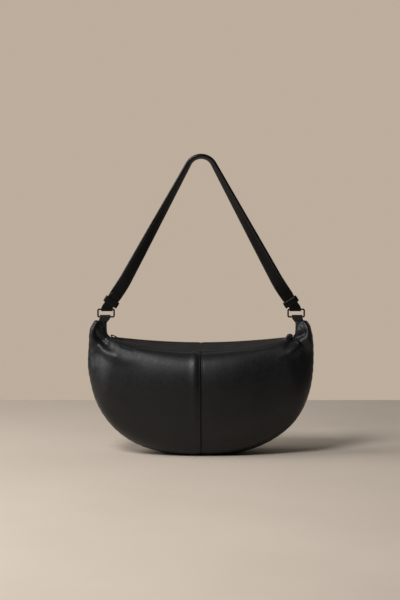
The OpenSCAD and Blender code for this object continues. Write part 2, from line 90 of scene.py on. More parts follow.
class Lip:
    """One edge of the mouth. way is 1 at the front and -1 at the back, a mirrored front."""

    def __init__(self, word, way, y, mid_h, r):
        self.word = word
        self.way = way
        self.y = y
        self.mid_h = mid_h
        self.r = r

    def height(self, x):
        return arc_h(x, self.mid_h, self.r)

    def out(self, x):
        share = np.clip(np.abs(x) / MOUTH_HALF_W, 0, 1)
        return self.y * np.sqrt(1 - share ** LIP_CLOSE_POWER)


FRONT_LIP = Lip("front", 1, 15, ZIP_MID_H + FRONT_RISE, ZIP_ARC_R - FRONT_RISE)
MOUTH_END_H = FRONT_LIP.height(MOUTH_HALF_W)
BACK_SAG = MOUTH_END_H - ZIP_MID_H - BACK_RISE
BACK_LIP = Lip("back", -1, 22, ZIP_MID_H + BACK_RISE,
               (MOUTH_HALF_W ** 2 + BACK_SAG ** 2) / (2 * BACK_SAG))


def mix(a, b, share):
    return a + (b - a) * share


def ease(share):
    s = np.clip(share, 0, 1)
    return s * s * (3 - 2 * s)


def hump(distance, width):
    return np.exp(-(distance / width) ** 2)


def unit(v):
    return v / np.maximum(np.linalg.norm(v, axis=-1, keepdims=True), 1e-9)


def catmull(rows, t):
    """Smooth curve through rows[1:-1]; rows has one extra point at each end."""
    k = np.clip(np.floor(t).astype(int), 0, len(rows) - 4)
    u = (t - k)[..., None]
    a, b, c, d = rows[k], rows[k + 1], rows[k + 2], rows[k + 3]
    return 0.5 * (2 * b + (c - a) * u + (2 * a - 5 * b + 4 * c - d) * u ** 2
                  + (3 * b - a - 3 * c + d) * u ** 3)


def smooth_curve(points, t):
    """Smooth curve through points, where t counts the points from zero."""
    points = np.asarray(points, float)
    rows = np.vstack([2 * points[0] - points[1], points, 2 * points[-1] - points[-2]])
    return catmull(rows, t)


def smooth_path(points, count):
    return smooth_curve(points, np.linspace(0, len(points) - 1, count))


def rib_place(i, half_w, ear_shares):
    """Angle and x of ribs in the body, and how far the ear's ribs have gone."""
    a = np.radians(90 - 90 * np.minimum(i, RIBS) / RIBS)
    x = half_w * np.cos(a) ** (2 / OUTLINE_POWER)
    return a, x, smooth_curve(ear_shares, np.clip(i - RIBS, 0, EAR_STEPS))


def outline(i):
    """The body's side seam, from the base to the top of the ear."""
    a, x, s = rib_place(i, HALF_W, EAR_OUTER_SHARES)
    z = BELLY_H - OUTLINE_DROP * np.sin(a) ** (2 / OUTLINE_POWER)
    return np.stack([x + (EAR_OUT_X - HALF_W) * s[..., 0], z + (EAR_H - BELLY_H) * s[..., 1]], -1)


def mouth_edge(i, lip):
    x, s = rib_place(i, MOUTH_HALF_W, EAR_INNER_SHARES)[1:]
    return np.stack([
        x + (EAR_IN_X - MOUTH_HALF_W) * s[..., 0],
        lip.height(x) + (EAR_H - MOUTH_END_H) * s[..., 1],
    ], -1)


def rib_depth(i, lip):
    low = np.minimum(i, RIBS)
    seam = outline(low)
    x_share = np.minimum((seam[..., 0] + mouth_edge(low, lip)[..., 0]) / BODY_W, 1)
    rise = seam[..., 1] / BELLY_H
    shoulder = 1 - SHOULDER_SHARE * ease((rise - SHOULDER_LOW_SHARE) / (1 - SHOULDER_LOW_SHARE))
    deep = BODY_HALF_D * (1 - x_share ** PLAN_POWER) ** (1 / PLAN_ROOT) * shoulder
    ear = np.clip((i - RIBS) / EAR_STEPS, 0, 1)
    pinch = 1 - EAR_PINCH_SHARE * ease((i - LAST_RIB + 2) / 2)
    return mix(deep, EAR_HALF_D, ear) * pinch


def skin(i, j, inset, lip):
    """Points of the front right panel: i counts ribs, j runs from the side seam to the lip."""
    seam = outline(i)
    mouth = mouth_edge(i, lip)
    span = np.linalg.norm(mouth - seam, axis=-1)
    along = (mouth - seam) / span[..., None]
    a = np.radians(180 * j / PROFILE_STEPS)
    e = 2 / SECTION_POWER
    low = a <= math.pi / 2
    rise_low = FULLEST_SHARE * (1 - np.clip(np.cos(a), 0, 1) ** e)
    rise_high = FULLEST_SHARE + (1 - FULLEST_SHARE) * np.clip(-np.cos(a), 0, 1) ** e
    t = np.where(low, rise_low, rise_high)
    place = seam + along * (inset + (span - 2 * inset) * t)[..., None]
    deep = rib_depth(i, lip) - inset
    lip_d = np.where(i <= RIBS, np.minimum(deep, lip.out(mouth[..., 0])), 0)
    swell = np.clip(np.sin(a), 0, 1) ** e
    d = np.where(low, deep * swell, lip_d + (deep - lip_d) * swell)
    return np.stack([place[..., 0], -d, np.maximum(place[..., 1], inset)], -1)


def run_length(p, axis):
    """Length along one axis of rows of points, from their first point."""
    step = np.linalg.norm(np.diff(p, axis=axis), axis=-1)
    return np.insert(np.cumsum(step, axis=axis), 0, 0, axis=axis)


def rows_at(wanted, measure, rows):
    """Points between rows, where the measure of the rows has the wanted values."""
    return np.stack([np.interp(wanted, measure, rows[:, k]) for k in range(3)], -1)


def form_data(bm):
    """Points and faces of a bmesh form, which is freed."""
    bm.verts.index_update()
    points = np.array([v.co for v in bm.verts])
    faces = [[v.index for v in f.verts] for f in bm.faces]
    bm.free()
    return points, faces


def add_object(name, data):
    obj = bpy.data.objects.new(name, data)
    bpy.context.scene.collection.objects.link(obj)
    return obj


SHARP_ANGLE = math.radians(50)


class Piece:
    """Gathers closed forms, in millimetres, into one object."""

    def __init__(self):
        self.points = []
        self.faces = []
        self.slots = []
        self.count = 0

    def add(self, points, faces, slots):
        points = points.reshape(-1, 3)
        self.points.append(points)
        self.faces += [[k + self.count for k in f] for f in faces]
        self.slots += slots
        self.count += len(points)

    def tube(self, rings, slot=0, closed=False, caps=True, face_slots=None):
        """Skin over rows of rings. face_slots may differ by column, or by row and column."""
        rings = np.asarray(rings, float)
        n, m = rings.shape[:2]
        rows = n if closed else n - 1
        i, k = np.meshgrid(np.arange(rows), np.arange(m), indexing="ij")
        next_i, next_k = (i + 1) % n, (k + 1) % m
        faces = np.stack([i * m + k, next_i * m + k, next_i * m + next_k, i * m + next_k], -1)
        faces = faces.reshape(-1, 4).tolist()
        slots = np.broadcast_to(slot if face_slots is None else face_slots, (rows, m))
        slots = slots.reshape(-1).tolist()
        if caps and not closed:
            faces += [list(range(m))[::-1], list(range((n - 1) * m, n * m))]
            slots += [slot, slot]
        self.add(rings, faces, slots)

    def copies(self, points, faces, frames, slot=0):
        """Copies of one form. Each frame is a place and three directions."""
        for place, axes in frames:
            self.add(place + points @ axes, faces, [slot] * len(faces))

    def form(self, bm, place, axes):
        self.copies(*form_data(bm), [(place, axes)])

    def make(self, name, body, slot, materials, node):
        mesh = bpy.data.meshes.new(name)
        mesh.from_pydata((np.vstack(self.points) * MM).tolist(), [], self.faces)
        mesh.polygons.foreach_set("material_index", self.slots)
        mesh.shade_smooth()
        bm = bmesh.new()
        bm.from_mesh(mesh)
        bmesh.ops.recalc_face_normals(bm, faces=bm.faces)
        bm.to_mesh(mesh)
        bm.free()
        for material in materials:
            mesh.materials.append(material)
        obj = add_object(name, mesh)
        mesh.set_sharp_from_angle(angle=SHARP_ANGLE)
        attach(obj, body)
        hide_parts(node)


# Stitches: short slugs of thread that dip into the leather at their ends
STITCH_L = 2.5
STITCH_R = 0.27
STITCH_PITCH = 3.3
STITCH_SIDES = 6
STITCH_SHARES = [[-0.5, 0.35], [-0.36, 0.85], [0, 1], [0.36, 0.85], [0.5, 0.35]]
STITCH_SLANT = math.radians(7)
STITCH_AIM = 0.5


def circle(r, count):
    turn = np.linspace(0, 2 * math.pi, count, endpoint=False)
    return r * np.cos(turn), r * np.sin(turn)


def stitch_form():
    rings = []
    for at, share in STITCH_SHARES:
        y, z = circle(STITCH_R * share, STITCH_SIDES)
        rings.append(np.c_[np.full(STITCH_SIDES, at * STITCH_L), y, z - STITCH_R * (1 - share)])
    piece = Piece()
    piece.tube(rings)
    return np.vstack(piece.points), piece.faces


STITCH = stitch_form()


def stitch_row(piece, path, out, slot, pitch=STITCH_PITCH, margin=STITCH_PITCH):
    """Stitches along a path. out is the direction away from the leather."""
    out = np.broadcast_to(out, path.shape)
    at = run_length(path, 0)
    count = int((at[-1] - 2 * margin) / pitch)
    if count < 1:
        return
    mids = margin + (np.arange(count) + 0.5) * (at[-1] - 2 * margin) / count
    along = unit(rows_at(mids + STITCH_AIM, at, path) - rows_at(mids - STITCH_AIM, at, path))
    across = unit(np.cross(unit(rows_at(mids, at, out)), along))
    up = np.cross(along, across)
    tangent = along * math.cos(STITCH_SLANT) + across * math.sin(STITCH_SLANT)
    axes = np.stack([tangent, np.cross(up, tangent), up], 1)
    piece.copies(*STITCH, zip(rows_at(mids, at, path), axes), slot)


# Materials
def add_node(tree, kind, inputs, **settings):
    """A shader node with settings, and inputs that are values or other nodes' outputs."""
    node = tree.nodes.new("ShaderNode" + kind)
    for name, value in settings.items():
        setattr(node, name, value)
    set_inputs(node, inputs)
    return node


def set_inputs(node, inputs):
    for name, value in inputs.items():
        if isinstance(value, bpy.types.NodeSocket):
            node.id_data.links.new(value, node.inputs[name])
        else:
            node.inputs[name].default_value = value


class Material:
    """A material being made: its nodes, and its place in the object's own space."""

    def __init__(self, name):
        self.material = bpy.data.materials.new(name)
        self.material.use_nodes = True
        self.place = self.add("TexCoord", {}).outputs["Object"]

    def add(self, kind, inputs, **settings):
        return add_node(self.material.node_tree, kind, inputs, **settings)

    def noise(self, scale, detail=4, roughness=0.55, stretch=(1, 1, 1)):
        turn = self.add("Mapping", {"Scale": stretch, "Vector": self.place})
        return self.add("TexNoise", {
            "Scale": scale, "Detail": detail, "Roughness": roughness, "Vector": turn.outputs[0],
        }).outputs["Fac"]

    def ramp(self, value, low, high, dark, light):
        node = self.add("ValToRGB", {"Fac": value})
        for end, at, colour in zip(node.color_ramp.elements, (low, high), (dark, light)):
            end.position = at
            end.color = (*colour, 1)
        return node.outputs["Color"]

    def spread(self, value, low, high):
        return self.add("MapRange", {
            "From Min": 0.3, "From Max": 0.7, "To Min": low, "To Max": high, "Value": value,
        }).outputs["Result"]

    def bump(self, height, strength, distance, **below):
        inputs = {"Strength": strength, "Distance": distance, "Height": height}
        return self.add("Bump", inputs | below).outputs["Normal"]

    def finish(self, colour, rough, others):
        shader = self.material.node_tree.nodes["Principled BSDF"]
        set_inputs(shader, {"Base Color": colour, "Roughness": rough} | others)
        return self.material


def leather(name, dark, light, rough, grain, specular):
    """Dyed leather with pebbled grain, pores, soft wrinkles and uneven sheen."""
    m = Material(name)
    cells = m.add("TexVoronoi", {"Scale": 1300, "Vector": m.place},
                  feature="DISTANCE_TO_EDGE")
    wrinkle = m.noise(240, 5, 0.6, (1, 1, 0.6))
    normal = m.bump(wrinkle, 0.26, 0.0006)
    normal = m.bump(cells.outputs["Distance"], grain, 0.00018, Normal=normal)
    normal = m.bump(m.noise(2600, 2), 0.12, 0.0001, Normal=normal)
    return m.finish(m.ramp(m.noise(26, 5), 0.3, 0.72, dark, light),
                    m.spread(wrinkle, rough - 0.05, rough + 0.06),
                    {"Normal": normal, "Specular IOR Level": specular})


def woven(name, dark, light, pitch):
    """Woven cloth or tape: two crossed sets of threads with fuzz."""
    m = Material(name)
    waves = [
        m.add("TexWave", {
            "Scale": 1 / (pitch * MM * math.pi), "Distortion": 0.6, "Vector": m.place,
        }, bands_direction=direction).outputs["Fac"]
        for direction in ("X", "DIAGONAL")
    ]
    weave = m.add("Math", dict(enumerate(waves)), operation="MULTIPLY").outputs[0]
    fuzz = m.noise(900, 3)
    normal = m.bump(weave, 0.5, 0.0003)
    return m.finish(m.ramp(weave, 0.1, 0.8, dark, light), m.spread(fuzz, 0.77, 0.93),
                    {"Normal": m.bump(fuzz, 0.2, 0.0002, Normal=normal), "Sheen Weight": 0.2})


def metal(name, dark, light, rough):
    """Dark plated metal with faint scratches and cloudy wear."""
    m = Material(name)
    scratch = m.noise(900, 3, 0.6, (1, 1, 0.05))
    return m.finish(m.ramp(m.noise(180), 0.3, 0.75, dark, light),
                    m.spread(scratch, rough - 0.06, rough + 0.1),
                    {"Normal": m.bump(scratch, 0.08, 0.0001), "Metallic": 1})


def paint(name, dark, light, rough):
    """Thick edge paint: glossy, with slight waves along the edge."""
    m = Material(name)
    wave = m.noise(320, 3)
    return m.finish(m.ramp(wave, 0.35, 0.7, dark, light), m.spread(wave, rough - 0.05, rough + 0.1),
                    {"Normal": m.bump(wave, 0.2, 0.0004), "Specular IOR Level": 0.3})


def thread(name, dark, light):
    """Polyester sewing thread with its twist."""
    m = Material(name)
    twist = m.add("TexWave", {"Scale": 700, "Vector": m.place}, bands_direction="DIAGONAL")
    fibre = m.noise(2200, 2)
    return m.finish(m.ramp(fibre, 0.3, 0.7, dark, light), m.spread(fibre, 0.6, 0.75),
                    {"Normal": m.bump(twist.outputs["Fac"], 0.4, 0.0002), "Specular IOR Level": 0.25})


PANEL = leather("panel_leather", (0.0038, 0.0042, 0.0052), (0.006, 0.0065, 0.008), 0.43, 0.35, 0.38)
FACING = leather("facing_leather", (0.01, 0.0093, 0.008), (0.016, 0.0148, 0.013), 0.5, 0.3, 0.5)
TAB = leather("tab_leather", (0.004, 0.004, 0.0045), (0.007, 0.007, 0.0077), 0.44, 0.25, 0.35)
STRAP = leather("strap_leather", (0.0016, 0.0017, 0.0019), (0.0028, 0.003, 0.0033), 0.4, 0.2, 0.17)
EDGE = paint("edge_paint", (0.0022, 0.0022, 0.0024), (0.004, 0.004, 0.0043), 0.27)
THREAD = thread("sewing_thread", (0.006, 0.006, 0.0065), (0.012, 0.012, 0.013))
CLOTH = woven("lining_twill", (0.012, 0.0115, 0.011), (0.035, 0.033, 0.031), 0.7)
TAPE = woven("zip_tape_weave", (0.006, 0.006, 0.0065), (0.016, 0.016, 0.017), 0.8)
BACKING = woven("seam_tape_weave", (0.012, 0.012, 0.012), (0.03, 0.03, 0.03), 0.5)
ZIP_METAL = metal("zip_metal", (0.045, 0.043, 0.042), (0.09, 0.086, 0.082), 0.32)
RING_METAL = metal("ring_metal", (0.012, 0.012, 0.013), (0.025, 0.025, 0.027), 0.3)


# Leather panels with their seams, folds and slump. A dict has a value for each side or lip.
SEAM_R = 1.5
SEAM_D = 1.9
SEAM_STITCH_X = 3.1
CHANNEL_D = 0.3
CHANNEL_W = 0.9
VALLEY_W = {-1: 5.5, 1: 14}
VALLEY_TOP_D = 1.7
VALLEY_LOW_D = 0.7
VALLEY_LOW_H = 40
VALLEY_RISE = 110
VALLEY_LIP_SHARE = {1: 0.3, -1: 0}
LIP_FADE = 12
COLLAR_D = 1.6
COLLAR_IN = 9
COLLAR_W = 6
COLLAR_X = 90
COLLAR_FADE = 40
PUFF_X = 11
PUFF_W = 5
PUFF_H = {-1: 0.9, 1: 0.1}
KEEL_H = 3
KEEL_X = 60
KEEL_END_X = 150
KEEL_FADE = 40
GROOVE_D = 1.2
GROOVE_W = 1.5
GROOVE_POWER = 1.5
PUCKER_PITCH = 13
PUCKER_DRIFT_L = 37
PUCKER_H = 0.22
PUCKER_REACH = 7
PUCKER_FADE = 40
EAR_FADE = 1.2
SLUMP_WAVES = [
    (0.5, 0.026, 0.019, 0.4, 1.1), (0.3, -0.036, 0.03, 1.9, 0.3), (0.1, 0.06, 0.045, 4.2, 2.2),
]
SLUMP_BACK = 1.3
SLUMP_SEAM_FADE = 12
SLUMP_LIP_FADE = 10
SLUMP_MID_FADE = 18
LIP_STITCH_IN = 3.2

# Ridges and troughs: points in (x, z), height, width at both ends and how fast both ends fade
FOLDS = {
    -1: [
        ([[160, 207], [166, 199], [169.5, 190], [168.5, 182.5], [164, 175.5], [154.5, 165.5],
          [145, 159.6], [133.6, 155.5], [119.5, 151.8], [96, 149.5], [72, 147]],
         2.2, 2.4, 10, (0.03, 0.4)),
        ([[162, 173], [154, 164.5], [145, 159], [133.6, 155], [119.5, 151.5]], 1.6, 3, 9, (0.35, 0.5)),
        ([[163.5, 172], [165, 160], [166, 146], [165.5, 132], [162.5, 118], [157, 104]],
         3.4, 9.5, 9, (0.6, 0.5)),
        ([[163, 199], [162.5, 190], [158, 182.5], [150.5, 175.5], [142, 168], [134, 163]],
         -3.2, 3.4, 4.5, (0.2, 0.6)),
        ([[157, 202], [156.5, 193], [155, 185]], -1.5, 4, 4, (0.2, 0.4)),
        ([[126, 172], [112, 168], [98, 165]], -0.5, 1.8, 2.6, (0.08, 0.35)),
    ],
    1: [
        ([[158, 207], [163, 199], [165.5, 189], [163.5, 181.5], [156, 177], [147, 170], [137, 161],
          [122, 155], [104, 152]], 2.2, 2.4, 8, (0.03, 0.4)),
        ([[158, 180], [151, 170], [143, 161], [131, 155]], 5.5, 7, 10, (0.4, 0.5)),
        ([[160, 199], [160, 190], [154, 185], [144, 180], [134, 172], [126, 165]],
         -3, 3, 5, (0.2, 0.45)),
        ([[152, 200], [155, 194], [154, 187], [151, 183]], -1.1, 1.3, 1.5, (0.3, 0.3)),
        ([[129, 174], [118, 170], [104, 168]], -0.5, 1.8, 2.4, (0.08, 0.35)),
    ],
}


def fold_push(x, z, points, height, wide, end_wide, fade):
    path = smooth_path(points, 70)
    gap = np.hypot(x[..., None] - path[:, 0], z[..., None] - path[:, 1])
    nearest = gap.argmin(-1)
    s = nearest / (len(path) - 1)
    near = np.take_along_axis(gap, nearest[..., None], -1)[..., 0]
    strength = ease(s / fade[0]) * ease((1 - s) / fade[1])
    return height * strength * hump(near, mix(wide, end_wide, s))


def slump(x, y, z):
    """Gentle unevenness of a soft filled bag, different on every side."""
    back = np.sign(y) * SLUMP_BACK
    return sum(h * np.sin(a * x + b * z + p + back) * np.cos(b * x - a * z + q)
               for h, a, b, p, q in SLUMP_WAVES)


SPACING_TRIES = 4000
MID_PROFILE = 0.62 * PROFILE_STEPS
MID_RIB = 6.0
RIB_STEP = 2.1
EAR_STEP = 1.25
PROFILE_STEP = 1.9


def spaced(high, spacing, measure):
    """Values from zero to high whose steps, as measured, follow the wanted spacing."""
    t = np.linspace(0, high, SPACING_TRIES)
    points = measure(t)
    step = np.linalg.norm(np.diff(points, axis=0), axis=1)
    length = run_length(points, 0)
    want = spacing(length, length[-1] - length, t)
    load = np.r_[0, np.cumsum(step / ((want[1:] + want[:-1]) / 2))]
    return np.interp(np.linspace(0, load[-1], int(load[-1]) + 1), load, t)


def rib_rows(lip):
    """Ribs, close together at the middle seam and at the ear."""
    return spaced(
        LAST_RIB,
        lambda length, rest, i: np.minimum(0.6 + 0.09 * length, np.where(i > RIBS - 3, EAR_STEP, RIB_STEP)),
        lambda i: skin(i, MID_PROFILE, 0, lip))


def profile_rows(lip):
    """Places across a rib, close together at the outline seam and at the lip."""
    return spaced(
        PROFILE_STEPS,
        lambda length, rest, j: np.minimum(0.5 + np.minimum(0.12 * length, 0.1 * rest), PROFILE_STEP),
        lambda j: skin(MID_RIB, j, 0, lip))


def surface_normals(p):
    return unit(np.cross(np.gradient(p, axis=0), np.gradient(p, axis=1)))


def panel_push(p, i, side, lip):
    """How far the leather of one panel stands out from the plain skin."""
    x, z = p[..., 0], p[..., 2]
    from_seam = run_length(p, 1)
    from_lip = from_seam[:, -1:] - from_seam
    top = ease((z - VALLEY_LOW_H) / VALLEY_RISE)
    ear = ease((i[:, None] - RIBS) / EAR_FADE)
    at_lip = mix(VALLEY_LIP_SHARE[lip.way], 1, ease(from_lip / LIP_FADE))
    push = -SEAM_D * np.clip(1 - x / SEAM_R, 0, 1) ** 2
    push -= CHANNEL_D * hump(x - SEAM_STITCH_X, CHANNEL_W)
    push -= mix(VALLEY_LOW_D, VALLEY_TOP_D, top) * hump(x, VALLEY_W[side]) * at_lip
    push += PUFF_H[side] * hump(x - PUFF_X, PUFF_W) * mix(0.3, 1, top) * at_lip
    push -= GROOVE_D * np.clip(1 - from_seam / GROOVE_W, 0, 1) ** GROOVE_POWER
    keel = KEEL_H * (1 - x / KEEL_X) * ease((KEEL_END_X - x) / KEEL_X)
    push += keel * ease(from_lip / KEEL_FADE) * ease(from_seam / KEEL_FADE)
    push -= COLLAR_D * hump(from_lip - COLLAR_IN, COLLAR_W) * (1 - ease((x - COLLAR_X) / COLLAR_FADE))
    push -= ear * GROOVE_D * np.clip(1 - from_lip / GROOVE_W, 0, 1) ** GROOVE_POWER
    along = run_length(p[:, 0], 0)[:, None]
    pucker = np.sin(2 * math.pi * along / PUCKER_PITCH + 2.1 * np.sin(along / PUCKER_DRIFT_L + side))
    push += PUCKER_H * pucker * hump(from_seam - PUCKER_REACH / 2, PUCKER_REACH) * ease(along / PUCKER_FADE)
    for fold in FOLDS[side]:
        push += fold_push(x, z, *fold)
    calm = ease(from_seam / SLUMP_SEAM_FADE) * ease(from_lip / SLUMP_LIP_FADE) * ease(x / SLUMP_MID_FADE)
    push += slump(side * x, lip.way * p[..., 1], z) * calm
    push -= CHANNEL_D * (1 - ear) * hump(from_lip - LIP_STITCH_IN, CHANNEL_W)
    return push


EAR_RIM_SHARE = 1.75
EAR_EDGE_SHARE = 0.6
EAR_LEAST_D = 3.95
EAR_SWELL = {-1: (0.3, 3.2), 1: (-0.5, 2)}


def in_ear(i):
    return ease((i[:, None] - RIBS + 0.5) / 2)


def lean_ears(p, i, side):
    """Let each ear slope from a full outer rim down to the edge beside the mouth."""
    from_seam = run_length(p, 1)
    across = from_seam / from_seam[:, -1:]
    start, span = EAR_SWELL[side]
    rim = mix(1, EAR_RIM_SHARE, ease((i[:, None] - RIBS - start) / span))
    d = -p[..., 1]
    wanted = d * mix(rim, EAR_EDGE_SHARE, ease((across - 0.1) / 0.85))
    wanted = np.maximum(wanted, np.minimum(d, EAR_LEAST_D))
    p[..., 1] = -mix(d, wanted, in_ear(i))


def at_distance(p, n, distance, wanted):
    """Line on a surface where distance, which grows along axis 1, has the wanted value."""
    return [np.array([rows_at(wanted, *pair) for pair in zip(distance, rows)]) for rows in (p, n)]


ROUND_STEPS = 5
INNER_STRIDE = 4
SEAM_STITCH_LOW_H = 4
TAB_STITCH_MARGIN = 1


def panel_surface(i, j, side, lip):
    p = skin(i[:, None], j[None, :], 0, lip)
    lean_ears(p, i, side)
    plain_y = p[..., 1]
    p = p + surface_normals(p) * panel_push(p, i, side, lip)[..., None]
    p[..., 1] = np.minimum(p[..., 1], np.maximum(plain_y, -EAR_LEAST_D * in_ear(i)))
    p[..., 2] = np.maximum(p[..., 2], 0)
    return p


def panel_rings(p, n, i, keep):
    """Each rib's way over the outer side, round the edge at the lip and back inside."""
    inner = np.clip(p - n * LEATHER_T, [0, -np.inf, LEATHER_T], [np.inf, 0, np.inf])
    mid = (p[:, -1] + inner[:, -1]) / 2
    up = (p[:, -1] - inner[:, -1]) / 2
    ahead = unit(p[:, -1] - p[:, -4])
    bulge = LEATHER_T / 2 * (1 - 0.9 * ease((i - RIBS + 1) / EAR_FADE))[:, None]
    angles = np.linspace(0, math.pi, ROUND_STEPS + 2)[1:-1]
    rim = np.stack([mid + up * math.cos(a) + ahead * bulge * math.sin(a) for a in angles], 1)
    return np.hstack([p, rim, inner[:, keep]])


def cap_ends(piece, rows, m, keep):
    """Close the middle seam's end and the ear's end, between the outer and inner points."""
    first_inner = keep[0] + 1 + ROUND_STEPS
    for base in (0, (rows - 1) * m):
        faces = [[base + k for k in range(keep[0], first_inner + 1)]]
        for q in range(len(keep) - 1):
            edge = [base + k for k in range(keep[q + 1], keep[q] + 1)]
            faces.append(edge + [base + first_inner + q, base + first_inner + q + 1])
        piece.faces += faces
        piece.slots += [0] * len(faces)


def panel_stitches(piece, p, n, i, mirror):
    """Stitches beside the middle seam, along the lip and across the ear, over its tab."""
    count = p.shape[1]
    cols = [c for c in range(count - 2) if p[:3, c, 2].max() > SEAM_STITCH_LOW_H]
    turned = p.transpose(1, 0, 2)[cols]
    rows = i < RIBS - 0.7
    from_lip = p[rows][:, ::-1]
    ear_row = int(np.searchsorted(i, LAST_RIB - 0.75))
    inside = slice(int(count * 0.2), int(count * 0.82))
    for (line, out), margin in (
        (at_distance(turned, n.transpose(1, 0, 2)[cols], turned[..., 0], SEAM_STITCH_X), STITCH_PITCH),
        (at_distance(from_lip, n[rows][:, ::-1], run_length(from_lip, 1), LIP_STITCH_IN), STITCH_PITCH),
        ((p[ear_row, inside], n[ear_row, inside]), TAB_STITCH_MARGIN),
    ):
        stitch_row(piece, line * mirror, out * mirror, 1, margin=margin)


def panel(name, side, lip):
    i, j = rib_rows(lip), profile_rows(lip)
    p = panel_surface(i, j, side, lip)
    n = surface_normals(p)
    keep = list(range(len(j) - 1, 0, -INNER_STRIDE)) + [0]
    rings = panel_rings(p, n, i, keep)
    rows, m = rings.shape[:2]
    turned_in = int(np.sum(run_length(p[:, ::-1], 1)[5] < LIP_STITCH_IN - CHANNEL_W / 2))
    face_slots = np.zeros((rows - 1, m), int)
    face_slots[i[1:] < RIBS - 0.3, len(j) - 1 - turned_in:len(j) + ROUND_STEPS] = 2
    mirror = [side, lip.way, 1]
    piece = Piece()
    piece.tube(rings * mirror, caps=False, face_slots=face_slots)
    cap_ends(piece, rows, m, keep)
    panel_stitches(piece, p, n, i, mirror)
    piece.make(name + "_leather", "bag", "panel_leather", [PANEL, THREAD, FACING], name)


for lip in (FRONT_LIP, BACK_LIP):
    panel(lip.word + "_panel_right", 1, lip)
    panel(lip.word + "_panel_left", -1, lip)


def sheet_piece(name, i, j, inset, thickness, lip, material, slot):
    """Cloth or tape that follows a left and a right panel, with their folds."""
    layers = []
    for depth in (inset, inset + thickness):
        p = skin(i[:, None], j[None, :], depth, lip)
        n = surface_normals(p)
        halves = []
        for side in (-1, 1):
            q = p + n * panel_push(p, i, side, lip)[..., None]
            q[..., 1] = np.minimum(q[..., 1], 0)
            q[0, :, 0] = 0
            halves.append(q * [side, lip.way, 1])
        layers.append(np.vstack([halves[0][:0:-1], halves[1]]))
    outer, inner = layers
    piece = Piece()
    piece.tube(np.hstack([outer, inner[:, ::-1]]))
    piece.make(name + "_cloth", "bag", slot, [material], name)


LINING_RIBS = np.linspace(0, RIBS, 61)
LINING_ROWS = np.linspace(0, PROFILE_STEPS, 61)
POCKET_RIBS = np.linspace(0, 5, 21)
POCKET_ROWS = np.linspace(3, 8, 31)
TAPE_RIBS = np.linspace(0, 0.25, 3)
TAPE_ROWS = np.linspace(0, PROFILE_STEPS - 1, 61)
SEAM_TAPE_T = 0.5
SEAM_TAPE_IN = LEATHER_T + 0.2

for lip in (FRONT_LIP, BACK_LIP):
    sheet_piece(lip.word + "_lining", LINING_RIBS, LINING_ROWS, LINING_IN, LINING_T, lip,
                CLOTH, "lining_cloth")
    sheet_piece(lip.word + "_seam_tape", TAPE_RIBS, TAPE_ROWS, SEAM_TAPE_IN, SEAM_TAPE_T, lip,
                BACKING, "seam_tape")
sheet_piece("inner_pocket", POCKET_RIBS, POCKET_ROWS, LINING_IN + LINING_T, LINING_T, BACK_LIP,
            CLOTH, "lining_cloth")


# Bands of leather: flat strips with rounded, painted edges
EDGE_SHARES = [[-0.6, 1], [-0.2, 0.82], [0, 0.4], [0, -0.4], [-0.2, -0.82], [-0.6, -1]]
FACE_SHARES = [0.8, 0.5, 0.17, -0.17, -0.5, -0.8]


def in_space(points, axis):
    """Flat points as points in space, with zero along the axis that they lack."""
    return np.insert(points, axis, 0, axis=-1)


def tilted(a):
    """Directions turned by an angle in the plane of x and z."""
    c, s = math.cos(a), math.sin(a)
    return np.array([[c, 0, s], [0, 1, 0], [-s, 0, c]])


def band(piece, path, across, out, width, thickness, slots=(0, 1), crown=0.0, closed=False):
    """A strip along a path. across and out are its width and thickness directions."""
    across, out = np.broadcast_to(across, path.shape), np.broadcast_to(out, path.shape)
    half_w = np.broadcast_to(np.divide(width, 2), len(path))[:, None]
    half_t = np.broadcast_to(np.divide(thickness, 2), len(path))[:, None]
    edge = np.array(EDGE_SHARES)
    face = np.array(FACE_SHARES)
    rise = 1 + crown * (1 - face ** 2)
    u = np.c_[half_w + edge[:, 0] * half_t, half_w * face,
              -half_w - edge[::-1, 0] * half_t, -half_w * face]
    v = np.c_[half_t * edge[:, 1], -half_t * rise, half_t * edge[::-1, 1], half_t * rise]
    rings = path[:, None] + across[:, None] * u[..., None] + out[:, None] * v[..., None]
    one_side = [slots[1]] * (len(edge) - 1) + [slots[0]] * (len(face) + 1)
    piece.tube(rings, slots[1], closed=closed, face_slots=one_side * 2)


def box_form(size, bevel, segments=2):
    bm = bmesh.new()
    bmesh.ops.create_cube(bm, size=1)
    bmesh.ops.scale(bm, vec=size, verts=bm.verts)
    bmesh.ops.bevel(bm, geom=bm.edges[:] + bm.verts[:], offset=bevel, segments=segments,
                    profile=0.6, affect="EDGES")
    return bm


def plate_form(outline_points, thickness, bevel):
    bm = bmesh.new()
    base = bm.faces.new([bm.verts.new((x, y, -thickness / 2)) for x, y in outline_points])
    made = bmesh.ops.extrude_face_region(bm, geom=[base])
    top = [v for v in made["geom"] if isinstance(v, bmesh.types.BMVert)]
    bmesh.ops.translate(bm, vec=(0, 0, thickness), verts=top)
    bmesh.ops.recalc_face_normals(bm, faces=bm.faces)
    flat = [e for e in bm.edges if abs(e.verts[0].co.z - e.verts[1].co.z) < thickness / 2]
    bmesh.ops.bevel(bm, geom=flat, offset=bevel, segments=2, profile=0.6, affect="EDGES")
    return bm


def round_rect(half_w, half_d, r, per_corner):
    """Points and outward directions of a rounded rectangle."""
    corner = np.repeat([[1, 1], [-1, 1], [-1, -1], [1, -1]], per_corner, axis=0)
    a = np.ravel([np.linspace(q, q + 1, per_corner) for q in range(4)]) * math.pi / 2
    out = np.c_[np.cos(a), np.sin(a)]
    return corner * [half_w - r, half_d - r] + r * out, out


